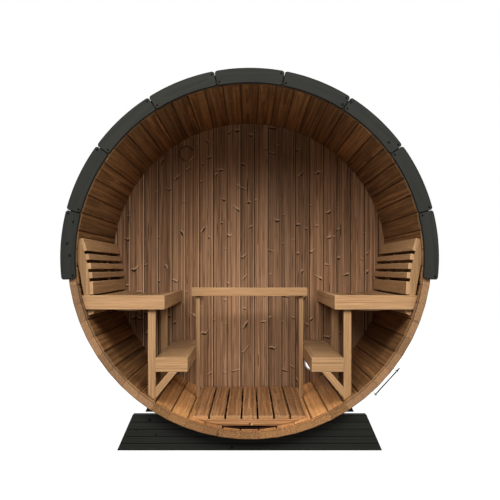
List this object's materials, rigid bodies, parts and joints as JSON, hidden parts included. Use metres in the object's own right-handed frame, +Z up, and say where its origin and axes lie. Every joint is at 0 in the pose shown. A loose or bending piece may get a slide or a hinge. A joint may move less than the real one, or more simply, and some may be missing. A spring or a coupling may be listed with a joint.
{
  "type": "barrel sauna",
  "caption": "Open-fronted barrel sauna of wooden staves with facing dished benches, steps, slatted backrests, a heater guard and a duckboard floor, on plank cradles.",
  "frame": {"origin": "ground level under the middle of the barrel's length", "axes": "+Z up, the open front faces -Y, +X to the right as seen from the front"},
  "size_m": [2.054, 1.556, 2.098],
  "materials": {
    "stave_wood": "heat-treated softwood, planed, satin oil",
    "wall_wood": "heat-treated knotty softwood, planed",
    "bench_wood": "pale honey hardwood, sanded",
    "floor_wood": "warm brown softwood, sanded",
    "trim_paint": "dark grey paint on wood, matt",
    "cradle_wood": "black stain on wood, satin",
    "roof_felt": "mineral-faced bitumen covering",
    "band_steel": "stainless steel, brushed",
    "vent_steel": "stainless steel, satin"
  },
  "bodies": {
    "root": {"back_wall": "wall_wood", "band_bolts": "band_steel", "bench_cleats": "bench_wood", "floor_boards": "floor_wood", "floor_joists": "floor_wood", "front_cradle": "cradle_wood", "front_roof_trim": "trim_paint", "heater_guard_posts": "bench_wood", "heater_guard_rail": "bench_wood", "heater_guard_side_rails": "bench_wood", "left_backrest_slats": "bench_wood", "left_backrest_supports": "bench_wood", "left_bench_bearers": "bench_wood", "left_bench_front_board": "bench_wood", "left_bench_posts": "bench_wood", "left_bench_rail": "bench_wood", "left_seat_slats": "bench_wood", "left_step_braces": "bench_wood", "left_step_front_board": "bench_wood", "left_step_rails": "bench_wood", "left_step_treads": "bench_wood", "lower_vent_ring": "vent_steel", "rear_cradle": "cradle_wood", "rear_roof_trim": "trim_paint", "right_backrest_slats": "bench_wood", "right_backrest_supports": "bench_wood", "right_bench_bearers": "bench_wood", "right_bench_front_board": "bench_wood", "right_bench_posts": "bench_wood", "right_bench_rail": "bench_wood", "right_seat_slats": "bench_wood", "right_step_braces": "bench_wood", "right_step_front_board": "bench_wood", "right_step_rails": "bench_wood", "right_step_treads": "bench_wood", "roof_covering": "roof_felt", "staves_bottom": "stave_wood", "staves_lower_left": "stave_wood", "staves_lower_right": "stave_wood", "staves_top": "stave_wood", "staves_upper_left": "stave_wood", "staves_upper_right": "stave_wood", "step_bearers": "bench_wood", "tension_bands": "band_steel", "upper_vent_cover": "wall_wood"}
  },
  "joints": []
}
